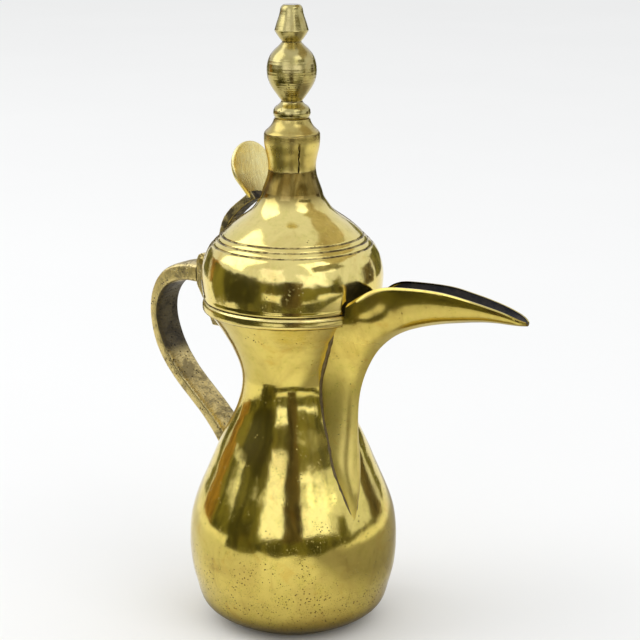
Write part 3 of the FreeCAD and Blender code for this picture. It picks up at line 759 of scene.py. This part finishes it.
# The zone from 228 to 252.4 mm is patina in the spire's hollow, where polish doesn't reach, and partly painted shade.
ferrule_brass = brass("ferrule_brass", (0.88, 0.70, 0.20, 1), (0.42, 0.28, 0.06, 1), 0.12, 0.8,
                      lines=[(271.9, 0.3), (252.4, 0.4)],
                      zones=[(228, 252.4, 0.5, 0.95, 0.06), (252.4, 269, 1, 0.0, 0.12), (268, 290, 1.5, 0.5, 0.08)])
spot = ferrule_brass.place()
aside = ferrule_brass.along(spot, (-math.sin(seam_turn), math.cos(seam_turn), 0))
front = ferrule_brass.along(spot, (math.cos(seam_turn), math.sin(seam_turn), 0))
tall = ferrule_brass.axis(spot, "Z")
crook = ferrule_brass.noise(ferrule_brass.stretch(spot, (0, 0, 190)), 1.0, 3.0)
gap = 1 - ferrule_brass.ramp(abs(aside + (crook - 0.5) * 0.0036), 0.00018, 0.00042)
gap = gap * ferrule_brass.ramp(front, 0.008, 0.010)
gap = gap * ferrule_brass.ramp(tall, 0.2523, 0.2527) * (1 - ferrule_brass.ramp(tall, 0.2660, 0.2680))
bare = Sock(ferrule_brass, ferrule_brass.shader.inputs["Base Color"].links[0].from_socket)
ferrule_brass.set(Base_Color=ferrule_brass.mix(gap, bare, (0.02, 0.014, 0.005, 1)))
stem_hole = 2.6
ferrule_top = 279.8
ferrule_under = 278.6
tube = smooth([(16.2, 240.8), (15.1, 244.0), (13.7, 248.0), (12.75, 254.0), (13.3, 259.0), (14.4, 263.5),
               (15.0, 268.5), (15.0, 271.6)], 60)
shoulder = smooth([(15.0, 271.6), (14.6, 272.6), (13.2, 274.0), (11.2, 276.2), (10.1, 278.2), (9.6, ferrule_top)], 24)
ferrule_out = np.concatenate([tube, shoulder[1:]])
ferrule_loop = np.concatenate([ferrule_out, [(stem_hole, ferrule_top), (stem_hole, ferrule_under),
                                             (8.4, ferrule_under)], offset(ferrule_out, wall)[::-1][3:]])
ferrule = piece(lathe("wrapped_ferrule", ferrule_loop, 360, 9.0, 0.14, butt_seam))
ferrule.data.materials.append(ferrule_brass.material)
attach(ferrule, "lid")
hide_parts("lid_ferrule")


# Finial: bead, ball and knop turned in one piece from a solid brass bar, with the tool's fine rings left on it.
# Its stem goes down through the ferrule's shoulder and is peened over a rove. Polish never reached the grooves,
# so it is darker than the sheet.
turned_brass = brass("turned_brass", (0.52, 0.43, 0.15, 1), (0.30, 0.22, 0.07, 1), 0.08, 0.9, stains=0.8, tool=0.5,
                     lines=[(279.8, 0.5), (288.9, 0.5), (320.2, 0.5)])
stem_radius = 2.5
stem_foot = 276.0
finial_foot = 279.8
bead = smooth([(8.8, finial_foot), (9.8, 281.8), (9.9, 283.6), (8.9, 285.8), (6.6, 287.6), (5.7, 288.8)], 24)
ball = smooth([(5.7, 289.2), (7.9, 292.2), (10.6, 296.2), (12.5, 300.4), (13.2, 305.4), (12.5, 310.4),
               (10.4, 314.6), (7.0, 318.0), (5.1, 320.0)], 70)
knop = smooth([(5.2, 320.4), (6.9, 322.6), (8.9, 325.8)], 14)
point = smooth([(9.0, 326.2), (7.7, 330.6), (6.2, 335.6), (5.2, 338.8), (4.3, 339.5)], 40)
finial_line = np.concatenate([bead, ball, knop, point])
finial_line[:, 0] += 0.035 * np.sin(finial_line[:, 1] * 9.0) * (finial_line[:, 0] > 6)
finial_loop = np.concatenate([finial_line, [(0.0, 339.3), (0.0, stem_foot), (stem_radius, stem_foot),
                                            (stem_radius, finial_foot)]])
finial = piece(lathe("turned_finial", finial_loop, around=128, size=8.0, depth=0.06))
finial.data.materials.append(turned_brass.material)
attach(finial, "lid")
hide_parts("finial")


# Hinge bracket and thumb lever: two castings filed to shape. The bracket hooks under the band and carries the lugs;
# the lever is riveted to the lid's back and rises to the thumb disc.
cast_grid = 0.45 * MM
cast_lumps = 0.2


def casting(name, node, finish, body):
    """A node's solid with softened edges and an uneven cast skin in its place."""
    solid = frame["nodes"][node].data.copy()
    solid.name = name
    solid.materials.clear()
    made = piece(solid)
    grid = made.modifiers.new("grid", "REMESH")
    grid.mode = "VOXEL"
    grid.voxel_size = cast_grid
    soft = made.modifiers.new("soft", "SMOOTH")
    soft.iterations = 5
    mesh = settle(made)
    moved = [corner.co + corner.normal * beaten(corner.co / MM, 5.0, cast_lumps) * MM for corner in mesh.vertices]
    mesh.vertices.foreach_set("co", np.array(moved).ravel())
    mesh.polygons.foreach_set("use_smooth", [True] * len(mesh.polygons))
    mesh.materials.append(finish.material)
    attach(made, body)
    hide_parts(node)


# The lever's face towards the pot is painted as shade above 222 to 232 mm.
lever_brass = cast("lever_brass", (0.62, 0.50, 0.20, 1), (0.13, 0.105, 0.055, 1), 0.38, 0.20, (222, 232))
casting("cast_bracket", "hinge_bracket", cast_brass, "pot")
casting("cast_lever", "lever_arm", lever_brass, "lid")


# Thumb disc: a teardrop cut from brass plate, dished a little, filed round at the edge and brushed; its
# tone is painted lighter than the other brass, as painted light.
# It is soldered to the lever's tip, where a thumb presses it to lift the lid, and stands twisted and leaning.
brushed_brass = Finish("brushed_brass")
spot = brushed_brass.place()
broad = brushed_brass.noise(spot, 120.0, 5.0, 0.6)
grain = brushed_brass.node("ShaderNodeMapping", {},
                           {"Vector": spot, "Rotation": (0.7, 0, 0), "Scale": (300, 1700, 130)})
stroke = brushed_brass.noise(grain, 1.0, 4.0, 0.65)
nick = 1 - brushed_brass.ramp(brushed_brass.cells(spot, 300.0), 0.06, 0.16)
# Painted light: the tone is lighter than any other brass here and stands in for the light and sky that the spire
# keeps off the disc.
tone = brushed_brass.mix(brushed_brass.ramp(broad, 0.35, 0.7), (1.0, 0.83, 0.30, 1), (1.0, 0.88, 0.38, 1))
tone = brushed_brass.mix(brushed_brass.ramp(stroke, 0.48, 0.70) * 0.55, tone, (0.70, 0.52, 0.15, 1))
tone = brushed_brass.mix(nick * brushed_brass.ramp(broad, 0.5, 0.6) * 0.7, tone, (0.12, 0.09, 0.03, 1))
brushed_brass.set(Base_Color=tone, Metallic=0.9, Roughness=0.16 + stroke * 0.16 + broad * 0.08,
                  Normal=brushed_brass.bump(stroke * 0.4 + broad * 0.4, 0.0002))
disc_radius = 13.3
disc_rise = 18.8
disc_neck = 3.6
disc_back = -2.2
round_steps = 72
flank_steps = 12
neck_steps = 8
spread = math.asin(disc_radius / math.hypot(disc_neck, disc_rise))
reach = math.sqrt(disc_rise ** 2 + disc_neck ** 2 - disc_radius ** 2)
flank = math.atan2(disc_rise, -disc_neck) - spread
touch = (disc_neck + reach * math.cos(flank), reach * math.sin(flank))
sweep = math.atan2(touch[1] - disc_rise, touch[0])
edge = [(disc_radius * math.cos(turn), disc_rise + disc_radius * math.sin(turn))
        for turn in np.linspace(sweep, math.pi - sweep, round_steps)]
edge += [(-touch[0] + (touch[0] - disc_neck) * k / flank_steps, touch[1] * (1 - k / flank_steps))
         for k in range(1, flank_steps + 1)]
edge += [(-disc_neck + 2 * disc_neck * k / neck_steps, 0.0) for k in range(1, neck_steps + 1)]
edge += [(disc_neck + (touch[0] - disc_neck) * k / flank_steps, touch[1] * k / flank_steps)
         for k in range(1, flank_steps)]
disc_twist = Matrix.Rotation(math.radians(-10), 4, "Z")
disc_lean = Matrix.Rotation(math.radians(-12), 4, "Y")
disc_stand = Matrix.Translation((-24.4, 0, 233.0)) @ disc_twist @ disc_lean
# From the dished front round the filed edge to the back: the share of the outline, and how deep it lies.
disc_layers = [(0.02, -0.35), (0.3, -0.33), (0.6, -0.22), (0.85, -0.06), (0.94, -0.02), (0.98, -0.25), (1.0, -0.8),
               (1.0, -1.4), (0.98, -1.95), (0.94, disc_back), (0.6, disc_back), (0.3, disc_back), (0.02, disc_back)]
sections = []
for share, deep in disc_layers:
    ring = []
    for across, up in edge:
        spot = Vector((deep, across * share, disc_rise + (up - disc_rise) * share))
        spot.x += 0.12 * noise.noise(spot / 6) * (0.02 < share < 0.95)
        ring.append(disc_stand @ spot)
    sections.append(ring)
disc = piece(strip("thumb_plate", sections, 60))
disc.data.materials.append(brushed_brass.material)
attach(disc, "lid")
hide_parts("thumb_disc")


# Small fittings: base disc, lid skirt, rivets, hinge pin and the rove under the finial, cut or turned from brass.
# They are hidden or tiny and stay as they were made, so their solids only take a duller, unpolished finish.
plain_brass = brass("plain_brass", (0.60, 0.46, 0.15, 1), (0.26, 0.17, 0.05, 1), 0.24, 0.9, stains=0.8)
for node in ("base_disc", "bracket_rivets", "hinge_pin", "lid_skirt", "finial_rove", "lever_rivets"):
    frame["nodes"][node].data.materials.clear()
    frame["nodes"][node].data.materials.append(plain_brass.material)
